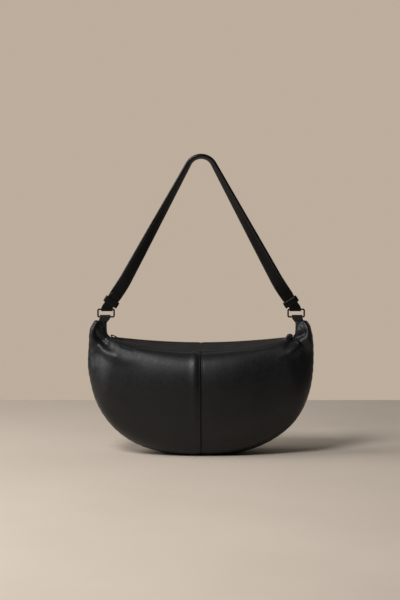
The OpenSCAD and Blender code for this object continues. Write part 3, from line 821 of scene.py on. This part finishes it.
# Mouth: facings, zip tapes, teeth, stops and the leather at the ends of the zip
FACING_GAP = 6.2
FACING_T = 1.4
FACING_STITCH_IN = 2.4
FACING_RIPPLE_H = 0.25
FACING_RIPPLE_L = 5.3
FACING_SAG = 0.9
CHAIN_HALF_W = 2.7
CHAIN_T = 2.4
TAPE_T = 0.6
TOOTH_PITCH = 2.9
TOOTH_SIZE = (1.45, 3.3, 2.3)
TOOTH_TIP_SHARE = 0.8
TOOTH_OUT = 0.95
ZIP_END_X = MOUTH_HALF_W - 5.5
SLIDER_X = MOUTH_HALF_W - 15
SLIDER_L = 9
CHAIN_LEFT_X = -(SLIDER_X + SLIDER_L / 2 - 2.7)
CHAIN_RIGHT_X = MOUTH_HALF_W - 20 + SLIDER_L / 2 + 0.3
STOP_L = 1.8
STOP_H = 3
TOP_STOP_X = SLIDER_X + SLIDER_L / 2 + STOP_L
METAL_BEVEL = 0.45


def zip_h(x):
    return arc_h(x, ZIP_MID_H, ZIP_ARC_R)


def on_zip(x, at=(0, 0, 0)):
    """Place and directions of the zip at x, with the third direction to the arc's centre."""
    axes = tilted(math.asin(x / ZIP_ARC_R))
    place = [0, 0, ZIP_CENTRE_H] - axes[2] * ZIP_ARC_R
    return place + at @ axes, axes


def facing(lip):
    x = np.linspace(-MOUTH_HALF_W + 0.6, MOUTH_HALF_W - 0.6, 200)[:, None]
    t = np.linspace(0, 1, 16)[None, :]
    low = np.minimum(lip.out(x), FACING_GAP)
    start_d = np.maximum(lip.out(x) - 0.3, low)
    end_h = zip_h(x) + TAPE_T / 2 + FACING_T
    start_h = np.maximum(lip.height(x) - 1.1, end_h)
    ripple = FACING_RIPPLE_H * np.sin(x / FACING_RIPPLE_L + lip.way) * np.sin(math.pi * t)
    ripple = ripple * ease((start_d - FACING_GAP) / 4)
    sag = FACING_SAG * np.sin(math.pi * t) * ease((start_d - FACING_GAP) / 5)
    d = mix(start_d, low, t)
    h = mix(start_h, end_h, t ** 1.15) - sag + ripple
    from_edge = (1 - t) * np.hypot(start_d - low, start_h - end_h)
    h = h - CHANNEL_D * hump(from_edge - FACING_STITCH_IN, 0.7) * ease((start_d - low) / 4)
    top = np.stack(np.broadcast_arrays(x, -d, h), -1)
    nose = np.c_[x, -low + 0.45, end_h - FACING_T / 2]
    under = top[:, ::-3] - [0, 0, FACING_T]
    mirror = [1, lip.way, 1]
    piece = Piece()
    piece.tube(np.hstack([top, nose[:, None], under]) * mirror)
    wide = np.abs(x[:, 0]) < ZIP_END_X - 12
    row = top[wide][:, ::-1]
    line, up = at_distance(row, np.zeros_like(row) + [0, 0, 1], from_edge[wide][:, ::-1],
                           FACING_STITCH_IN)
    stitch_row(piece, line * mirror, up, 1)
    name = lip.word + "_zip_facing"
    piece.make(name + "_leather", "bag", "facing_leather", [FACING, THREAD], name)


TAPE_SECTION = [[2.4, -0.3], [10, -0.3], [10, 0.3], [6, 0.3], [4.1, 0.3], [3.75, 0.55], [3.3, 0.85],
                [2.8, 0.8], [2.4, 0.35]]


def zip_tape(lip):
    section = in_space(np.array(TAPE_SECTION) * [-lip.way, 1], 0)
    piece = Piece()
    piece.tube([on_zip(x, section)[0] for x in np.linspace(-ZIP_END_X, ZIP_END_X, 110)])
    name = "zip_tape_" + lip.word
    piece.make(name + "_weave", "bag", "zip_tape", [TAPE], name)


def tooth_row(lip):
    """One half of the chain. The back half's teeth stand in the gaps of the front half's."""
    points, faces = form_data(box_form(TOOTH_SIZE, METAL_BEVEL))
    points[points[:, 1] * lip.way < 0, 0] *= TOOTH_TIP_SHARE
    points[:, 1] -= lip.way * TOOTH_OUT
    start_x = CHAIN_LEFT_X + 1 + (0 if lip.way > 0 else TOOTH_PITCH / 2)
    xs = np.arange(start_x, CHAIN_RIGHT_X - 0.7, TOOTH_PITCH)
    piece = Piece()
    piece.copies(points, faces, [on_zip(x) for x in xs])
    piece.make("zip_teeth_" + lip.word, "bag", "zip_metal", [ZIP_METAL], "zip_chain_" + lip.word)


def zip_stops():
    top, bottom = Piece(), Piece()
    for side in (-1, 1):
        top.form(box_form((STOP_L, CHAIN_HALF_W - 0.1, STOP_H), METAL_BEVEL),
                 *on_zip(-TOP_STOP_X, (0, side * CHAIN_HALF_W, 0)))
    bottom.form(box_form((STOP_L, 2 * CHAIN_HALF_W + STOP_L, STOP_H), METAL_BEVEL),
                *on_zip(CHAIN_RIGHT_X + STOP_L / 2))
    for piece, node in ((top, "zip_top_stops"), (bottom, "zip_bottom_stop")):
        piece.make(node + "_metal", "bag", "zip_metal", [ZIP_METAL], node)


COVER_SIZE = (5, 8, 1.7)


def end_cover():
    x = -(TOP_STOP_X + STOP_L / 2 + 0.3)
    length, width, high = COVER_SIZE
    row = np.linspace(-width / 2, width / 2, 12)
    line = np.array([on_zip(x, (-1.5, y, TAPE_T / 2 + high))[0] for y in row])
    piece = Piece()
    piece.form(box_form(COVER_SIZE, 0.6, 3), *on_zip(x, (-length / 2, 0, TAPE_T / 2 + high / 2)))
    stitch_row(piece, line, [0, 0, 1], 1, margin=0.5)
    piece.make("zip_end_cover_leather", "bag", "tab_leather", [TAB, THREAD], "zip_end_cover_left")


HUMP_SHARES = [[0, 0], [0.3, 0.02], [0.5, 0.36], [0.84, 0.44], [1, 0.66], [0.9, 0.9], [0.56, 0.99],
               [0.26, 0.86], [0.05, 0.5]]
HUMP_L = 11.6
HUMP_H = 11.6
HUMP_HALF_W = 5
HUMP_ROUND = 1.1


def end_tab():
    """The tab's side outline, rounded off towards both sides of its width."""
    left_x = MOUTH_HALF_W - 9
    corner = [left_x, 0, zip_h(left_x + 1.8) + TAPE_T / 2]
    knots = np.array(HUMP_SHARES) * [HUMP_L, HUMP_H]
    knots = np.vstack([knots[-1:], knots, knots[:2]])
    shape = catmull(knots, np.linspace(0, len(HUMP_SHARES), 64, endpoint=False))
    out = unit(shape - shape.mean(0))
    rings = []
    for share in np.sin(np.linspace(-math.pi / 2, math.pi / 2, 21)):
        inset = HUMP_ROUND * ease((abs(share) - 0.82) / 0.18) ** 2
        rings.append(corner + in_space(shape - out * inset, 1) + [0, share * HUMP_HALF_W, 0])
    piece = Piece()
    piece.tube(rings)
    top = (shape[:, 1] > 0.62 * HUMP_H) & (out[:, 1] > 0.2)
    for side in (-1, 1):
        line = corner + in_space(shape[top], 1) + [0, side * (HUMP_HALF_W - 2), 0]
        stitch_row(piece, line, in_space(out[top], 1), 1, margin=0.6)
    piece.make("zip_end_tab_leather", "bag", "tab_leather", [TAB, THREAD], "zip_end_tab_right")


for lip in (FRONT_LIP, BACK_LIP):
    facing(lip)
    zip_tape(lip)
    tooth_row(lip)
zip_stops()
end_cover()
end_tab()

# Slider and puller
SLIDER_W = 9.2
PLATE_T = 1.1
SLIDER_GAP = 0.6 + CHAIN_T
WEDGE_L = 2.4
WEDGE_HALF_W = 1.2
RAIL_T = 0.6
BAIL_L = SLIDER_L * 0.6
BAIL_W = 2.2
BAIL_BAR = 0.9
BAIL_HOLE_H = 2.3
PIN_H = SLIDER_GAP / 2 + PLATE_T + BAIL_HOLE_H / 2
PIN_R = 0.8
PIN_END_R = 0.5
PIN_END_L = 0.3
PIN_HALF_L = BAIL_W / 2 + 0.8 + 1.3
ARM_W = 1.3
PULLER_L = 18
PULLER_W = 8
PULLER_T = 1.4
PULLER_RIM = 1.7
PULLER_LOOP_L = PULLER_L * 0.62
PULLER_LEAN = math.radians(13)
PULLER_TWIST = math.radians(20)
PLATE_OUTLINE = [[-4.5, -2.7], [-3.6, -4], [0, -4.6], [2.6, -4.5], [4.5, -3.5], [4.5, 3.5],
                 [2.6, 4.5], [0, 4.6], [-3.6, 4], [-4.5, 2.7]]


def local_band(piece, frame_at, path, across, out, width, thickness, closed=False):
    place, axes = frame_at
    band(piece, place + path @ axes, across @ axes, out @ axes, width, thickness, (0, 0),
         closed=closed)


def slider():
    piece = Piece()
    top = SLIDER_GAP / 2 + PLATE_T
    for side in (-1, 1):
        piece.form(plate_form(PLATE_OUTLINE, PLATE_T, 0.3),
                   *on_zip(-SLIDER_X, (0, 0, side * (top - PLATE_T / 2))))
        piece.form(box_form((SLIDER_L * 0.7, RAIL_T, SLIDER_GAP / 2 - TAPE_T / 2), 0.15),
                   *on_zip(-SLIDER_X, (0.4, side * (SLIDER_W / 2 - RAIL_T), TAPE_T + 0.5)))
    piece.form(box_form((WEDGE_L, 2 * WEDGE_HALF_W, SLIDER_GAP + PLATE_T), 0.3),
               *on_zip(-SLIDER_X, (-SLIDER_L / 2 + WEDGE_L / 2, 0, 0)))
    whole = round_rect(BAIL_L / 2 - BAIL_BAR / 2, BAIL_HOLE_H + BAIL_BAR / 2, 1.1, 5)
    arch, out = [upper[:10] for upper in whole]
    arch = np.vstack([[arch[0, 0], -0.4], arch, [arch[-1, 0], -0.4]])
    out = np.vstack([out[:1], out, out[-1:]])
    path = in_space(arch, 1) + [0, 0, top]
    local_band(piece, on_zip(-SLIDER_X), path, [0, 1, 0], in_space(out, 1), BAIL_W, BAIL_BAR)
    piece.make("zip_slider_metal", "slider", "zip_metal", [ZIP_METAL], "zip_slider")


def puller():
    """A loop that is square towards the slider, two arms and the pin in the bail."""
    piece = Piece()
    place, axes = on_zip(-SLIDER_X, (0, 0, PIN_H))
    c, s = math.cos(PULLER_TWIST), math.sin(PULLER_TWIST)
    twist = np.array([[1, 0, 0], [0, c, s], [0, -s, c]])
    turned = place, twist @ tilted(-PULLER_LEAN) @ axes
    near_x = PULLER_LOOP_L - PULLER_L
    half_l, half_w = PULLER_LOOP_L / 2 - PULLER_RIM / 2, PULLER_W / 2 - PULLER_RIM / 2
    loop, out = round_rect(half_l, half_w, 3.1, 9)
    tight, tight_out = round_rect(half_l, half_w, 1.2, 9)
    square = loop[:, 0] > 0
    loop[square], out[square] = tight[square], tight_out[square]
    path = in_space(loop, 2) + [near_x - PULLER_LOOP_L / 2, 0, 0]
    local_band(piece, turned, path, [0, 0, 1], in_space(out, 2), PULLER_T, PULLER_RIM, closed=True)
    arm_y = PIN_HALF_L - ARM_W / 2
    for side in (-1, 1):
        path = smooth_path([[0.75, side * arm_y, 0], [-4, side * arm_y, 0],
                            [near_x - 2, side * half_w, 0]], 9)
        local_band(piece, turned, path, [0, 0, 1], [0, side, 0], PULLER_T, ARM_W)
    pin = []
    for y, r in [(-PIN_HALF_L, PIN_END_R), (PIN_END_L - PIN_HALF_L, PIN_R),
                 (PIN_HALF_L - PIN_END_L, PIN_R), (PIN_HALF_L, PIN_END_R)]:
        x, z = circle(r, 16)
        pin.append(turned[0] + np.c_[x, np.full(16, y), z] @ turned[1])
    piece.tube(pin)
    piece.make("zip_puller_metal", "puller", "zip_metal", [ZIP_METAL], "zip_puller")


slider()
puller()

# Ear tabs, which loop the lower bar of each ring
RING_X, RING_LOW_H = joint_at["right_ring_swing"][0], joint_at["right_ring_swing"][2]
RING_HIGH_H = joint_at["strap_swing"][2]
STRAP_LOOP_X = -joint_at["strap_swing"][0]
LOOP_R = 3.13
LOOP_WALL = 1.8
TAB_LOOP_X = RING_X + 1.4
TAB_X = (EAR_OUT_X + EAR_IN_X) / 2
TAB_LOOP_W = 16.5
TAB_W = 14.2
TAB_PLY = 1.75
TAB_LOW_H = EAR_H - 19
TAB_HALF_Y = 0.93
EDGE_STITCH_IN = 1.9
EDGE_STITCH_PITCH = 2.8
LEAF_CLEAR_Y = 0.5


def loop_path(bar_h, end_h, leaf_y, way):
    """Path in (y, z) from one leaf's end, round the bar, to the other's, and its way out."""
    r = LOOP_R - LOOP_WALL / 2
    leg = np.linspace(1, 0.18, 20) * abs(bar_h - end_h)
    neck = np.c_[np.full(20, leaf_y), leg]
    start = math.radians(10)
    turn = np.linspace(start, math.pi - start, 15)
    bend = np.c_[r * np.cos(turn), -r * np.sin(turn)]
    points = smooth_path(np.vstack([neck, bend, neck[::-1] * [-1, 1]]), 120)
    ahead = unit(np.gradient(points, axis=0))
    out = np.c_[-ahead[:, 1], ahead[:, 0] * way]
    return points * [1, way] + [0, bar_h], in_space(out, 0)


def leaf_stitches(piece, path, across, outs, width, ply, free, side, margin):
    """Stitch rows along both edges of both leaves of a loop, where free says so."""
    for edge in (-1, 1):
        row = path + across * (edge * (width / 2 - EDGE_STITCH_IN))[:, None] + outs * ply / 2
        for leaf in (path[:, 1] < -LEAF_CLEAR_Y, path[:, 1] > LEAF_CLEAR_Y):
            on = free & leaf
            stitch_row(piece, row[on] * [side, 1, 1], outs[on], 2, EDGE_STITCH_PITCH, margin)


def ear_tab(word, side):
    line, outs = loop_path(RING_LOW_H, TAB_LOW_H, TAB_HALF_Y, -1)
    h = line[:, 1]
    rise = ease((h - (EAR_H - TAB_W / 2)) / (RING_LOW_H - EAR_H + TAB_W / 2))
    path = np.c_[mix(TAB_X, TAB_LOOP_X, rise), line]
    across = [1, 0, 0]
    width = mix(TAB_W, TAB_LOOP_W, rise)
    piece = Piece()
    band(piece, path * [side, 1, 1], across, outs, width, TAB_PLY, crown=0.06)
    leaf_stitches(piece, path, across, outs, width, TAB_PLY, h < RING_LOW_H - 3, side, 0.5)
    name = "ear_tab_" + word
    piece.make(name + "_leather", "bag", "tab_leather", [TAB, EDGE, THREAD], name)


# Strap: two layers that twist from the rings up to the peak
STRAP_TOP_H = RING_HIGH_H + 237.2
PEAK_R = 22
JOIN_SHIFT = 4
JOIN_L = 48
STRAP_W = 20
STRAP_T = 6
STRAP_END_T = 2.8
STRAP_TURN = math.radians(76)
STRAP_LOOP_W = 18
LEAF_T = 1.45
LEAF_L = 24
LEAF_TIP_SHARE = 0.7
PART_GAP = 0.3
REACH = [STRAP_LOOP_X - JOIN_SHIFT, STRAP_TOP_H - PEAK_R - RING_HIGH_H]
LEAN = math.atan(REACH[0] / REACH[1]) - math.asin(PEAK_R / math.hypot(*REACH))
VERTEX_H = STRAP_TOP_H + PEAK_R * (1 / math.sin(LEAN) - 1)
TANGENT_H = STRAP_TOP_H - PEAK_R + PEAK_R * math.sin(LEAN)
STRAP_END_H = RING_HIGH_H + LOOP_R + PART_GAP + math.sin(LEAN) * STRAP_LOOP_W / 2
STRAP_HELD_H = RING_HIGH_H + LEAF_L + PART_GAP + math.sin(LEAN) * LEAF_TIP_SHARE * STRAP_W / 2
STRAP_STITCH_IN = 4.3


def leg_x(h):
    return math.tan(LEAN) * (VERTEX_H - h) + JOIN_SHIFT * (1 - ease((h - RING_HIGH_H) / JOIN_L))


def leg_tilt(h):
    return np.arctan((leg_x(h - PART_GAP) - leg_x(h + PART_GAP)) / (2 * PART_GAP))


def strap_turn(h):
    s = np.clip((h - STRAP_HELD_H) / (STRAP_TOP_H - STRAP_HELD_H), 0, 1)
    return STRAP_TURN * s ** 0.65 * ease(s / 0.1)


def strap_half_w(h, tilt):
    return mix(STRAP_LOOP_W * np.cos(tilt), STRAP_W, ease((h - RING_HIGH_H) / 24)) / 2


def strap_half_t(h):
    return mix(STRAP_END_T, STRAP_T, ease((h - STRAP_HELD_H) / 24)) / 2


def strap_frames():
    """Places, directions and sizes of the strap's rings, from the left ring to the right one."""
    a = np.linspace(0, math.pi / 2 - LEAN, 22)
    h = np.linspace(TANGENT_H, STRAP_END_H, 140)[1:]
    half = [
        np.r_[PEAK_R * np.sin(a), leg_x(h)],
        np.r_[STRAP_TOP_H - PEAK_R + PEAK_R * np.cos(a), h],
        np.r_[math.pi / 2 - a, leg_tilt(h)],
    ]
    x, z, tilt = [np.r_[v[:0:-1], v] for v in half]
    side = np.where(np.arange(len(x)) < len(half[0]) - 1, -1, 1)
    place = in_space(np.c_[x * side, z], 1)
    inward = in_space(np.c_[-side * np.cos(tilt), -np.sin(tilt)], 1)
    front = [0, -1, 0]
    turn = strap_turn(z)[:, None]
    face = np.sin(turn) * inward + np.cos(turn) * front
    across = np.cos(turn) * inward - np.sin(turn) * front
    return place, across, face, strap_half_w(z, tilt), strap_half_t(z)


ROUND_SHARE = 1.1
ROUND_ANGLES = np.radians([2, 13, 26, 39, 52, 65, 78])
LAYER_SHARES = np.linspace(1, -1, 13)
LAYER_CROWN = 0.1


def layer_height(u, half_w, half_t):
    """Height of a layer over the strap's mid plane, inside its rounded edges."""
    flat_w = half_w - ROUND_SHARE * half_t
    groove = 0.22 * hump(half_w - np.abs(u) - STRAP_STITCH_IN, 0.7)
    return half_t * (1 - LAYER_CROWN * np.minimum(np.abs(u) / flat_w, 1) ** 2) - groove


def make_strap(piece, name):
    piece.make(name + "_leather", "strap", "strap_leather", [STRAP, EDGE, THREAD], name)


def strap_layer(name, way):
    """One layer: a rounded edge, a crowned face, the other edge and a nearly flat back."""
    place, across, face, half_w, half_t = strap_frames()
    w, t = half_w[:, None], half_t[:, None]
    flat_w = w - ROUND_SHARE * t
    round_u = flat_w + ROUND_SHARE * t * np.cos(ROUND_ANGLES)
    round_v = t * (1 - LAYER_CROWN) * np.sin(ROUND_ANGLES)
    u = flat_w * LAYER_SHARES
    us = np.c_[round_u, u, -round_u[:, ::-1], w * [-0.3, 0.3]]
    vs = np.c_[round_v, layer_height(u, w, t), round_v[:, ::-1], t * [0.01, 0.01]]
    rings = place[:, None] + across[:, None] * us[..., None] + face[:, None] * (vs * way)[..., None]
    rounds, flats = len(ROUND_ANGLES), len(LAYER_SHARES)
    piece = Piece()
    piece.tube(rings, 1, face_slots=[1] * rounds + [0] * (flats - 1) + [1] * rounds + [0] * 3)
    free = place[:, 2] > STRAP_HELD_H - 2
    for edge in (-1, 1):
        at = edge * (half_w - STRAP_STITCH_IN)
        high = layer_height(at, half_w, half_t)
        row = place + across * at[:, None] + face * (high * way)[:, None]
        stitch_row(piece, row[free], face[free] * way, 2)
    make_strap(piece, name)


LEAF_LOW_Y = STRAP_END_T / 2 + LEAF_T / 2 + 0.02


def strap_end(word, side):
    line, outs = loop_path(RING_HIGH_H, RING_HIGH_H + LEAF_L, LEAF_LOW_Y, 1)
    h = line[:, 1]
    above = h - RING_HIGH_H
    x = mix(STRAP_LOOP_X, leg_x(h), ease(above / 8))
    path = np.c_[x, line]
    tilt = leg_tilt(h) * ease(above / 14)
    across = in_space(np.c_[np.cos(tilt), np.sin(tilt)], 1)
    tip = 1 - 0.45 * (1 - np.clip((LEAF_L - above) / 9, 0, 1)) ** 2.2
    width = 2 * strap_half_w(h, tilt) * tip - 0.1
    ply = mix(LOOP_WALL - 0.05, LEAF_T, ease(above / 5))
    piece = Piece()
    band(piece, path * [side, 1, 1], across * [side, 1, 1], outs, width, ply)
    leaf_stitches(piece, path, across, outs, width, ply[:, None], above > 4, side, 1.2)
    make_strap(piece, "strap_end_" + word)


KEEPER_H = RING_HIGH_H + 11.5
KEEPER_L = 9.5
KEEPER_WALL = 2.2
KEEPER_R = 1.7
KEEPER_CROWN = 0.12
KEEPER_STITCH_IN = 1.5
KEEPER_PITCH = 2.6


def keeper(word, side):
    tilt = leg_tilt(KEEPER_H)
    half_w = strap_half_w(KEEPER_H + KEEPER_L / 2, tilt) + PART_GAP + KEEPER_WALL / 2
    half_d = STRAP_END_T / 2 + LEAF_T + KEEPER_WALL / 2
    loop, out = round_rect(half_w, half_d, KEEPER_R, 7)
    mirror = [side, 1, 1]
    axes = tilted(tilt)
    plane, along = axes[:2], axes[2]
    centre = [leg_x(KEEPER_H), 0, KEEPER_H]
    piece = Piece()
    band(piece, (centre + loop @ plane) * mirror, along * mirror, out @ plane * mirror,
         KEEPER_L, KEEPER_WALL - 0.05, crown=KEEPER_CROWN, closed=True)
    reach = np.linspace(2 - half_w, half_w - 2, 12)
    for edge, way in ((-1, -1), (-1, 1), (1, -1), (1, 1)):
        row = np.c_[reach, np.full(12, way * (half_d + KEEPER_WALL / 2 + 0.05))] @ plane
        row = centre + row + along * edge * (KEEPER_L / 2 - KEEPER_STITCH_IN)
        stitch_row(piece, row * mirror, [0, way, 0], 2, KEEPER_PITCH, 0.4)
    make_strap(piece, "keeper_" + word)


for word, side in (("left", -1), ("right", 1)):
    ear_tab(word, side)
    strap_end(word, side)
    keeper(word, side)
strap_layer("strap_inner", 1)
strap_layer("strap_outer", -1)

# Camera, floor and light
CAMERA_AT = (-0.0017, -4.0, 0.6462)
CAMERA_PITCH = 5.809
CAMERA_LENS = 155.54
FLOOR_BACK = 0.587
FLOOR_DARK = (0.56, 0.485, 0.41)
FLOOR_LIGHT = (0.62, 0.54, 0.46)
WALL = (0.51, 0.42, 0.34)
ROOM_FRONT = 0.02
ROOM_BACK = 0.22
LIGHT_TARGET_H = 0.15


def area_light(name, at, size, power, colour):
    """A round light that faces the bag's middle."""
    data = bpy.data.lights.new(name, "AREA")
    data.shape = "DISK"
    data.size = size
    data.energy = power
    data.color = colour
    obj = add_object(name, data)
    obj.location = at
    tip = math.atan2(math.hypot(at[0], at[1]), at[2] - LIGHT_TARGET_H)
    obj.rotation_euler = (tip, 0, math.atan2(at[0], -at[1]))


def camera():
    data = bpy.data.cameras.new("camera")
    data.lens = CAMERA_LENS
    data.clip_end = 50
    obj = add_object("camera", data)
    obj.location = CAMERA_AT
    obj.rotation_euler = (math.radians(90 - CAMERA_PITCH), 0, 0)
    bpy.context.scene.camera = obj


def floor():
    m = Material("pale_floor")
    m.finish(m.ramp(m.noise(3), 0.2, 0.8, FLOOR_DARK, FLOOR_LIGHT), 0.9, {"Specular IOR Level": 0.2})
    corners = [(-4, -3, 0), (4, -3, 0), (4, FLOOR_BACK, 0), (-4, FLOOR_BACK, 0)]
    mesh = bpy.data.meshes.new("floor")
    mesh.from_pydata(corners, [], [range(4)])
    mesh.materials.append(m.material)
    add_object("floor", mesh)


def surroundings():
    """A pale wall for the camera, and a room that lights the object mostly from behind."""
    world = bpy.data.worlds.new("studio")
    bpy.context.scene.world = world
    world.use_nodes = True
    tree = world.node_tree
    place = add_node(tree, "TexCoord", {}).outputs["Generated"]
    split = add_node(tree, "SeparateXYZ", {"Vector": place})
    behind = add_node(tree, "MapRange", {
        "From Min": -0.3, "From Max": 0.5, "To Min": ROOM_FRONT, "To Max": ROOM_BACK,
        "Value": split.outputs["Y"],
    }, interpolation_type="SMOOTHSTEP")
    room = tree.nodes["Background"]
    set_inputs(room, {"Color": (1, 0.95, 0.88, 1), "Strength": behind.outputs["Result"]})
    wall = add_node(tree, "Background", {"Color": (*WALL, 1)})
    seen = add_node(tree, "LightPath", {}).outputs["Is Camera Ray"]
    both = add_node(tree, "MixShader", {0: seen, 1: room.outputs[0], 2: wall.outputs[0]})
    set_inputs(tree.nodes["World Output"], {"Surface": both.outputs[0]})


camera()
floor()
surroundings()
area_light("key", (-0.85, -1.28, 1.7), 0.8, 32, (1, 0.99, 0.98))
area_light("side", (-2.1, -0.2, 1.4), 1.8, 40, (1, 0.98, 0.96))
bpy.context.scene.view_settings.view_transform = "Standard"

for name in ("ring_left", "ring_right"):
    for slot in frame["nodes"][name].material_slots:
        slot.material = RING_METAL
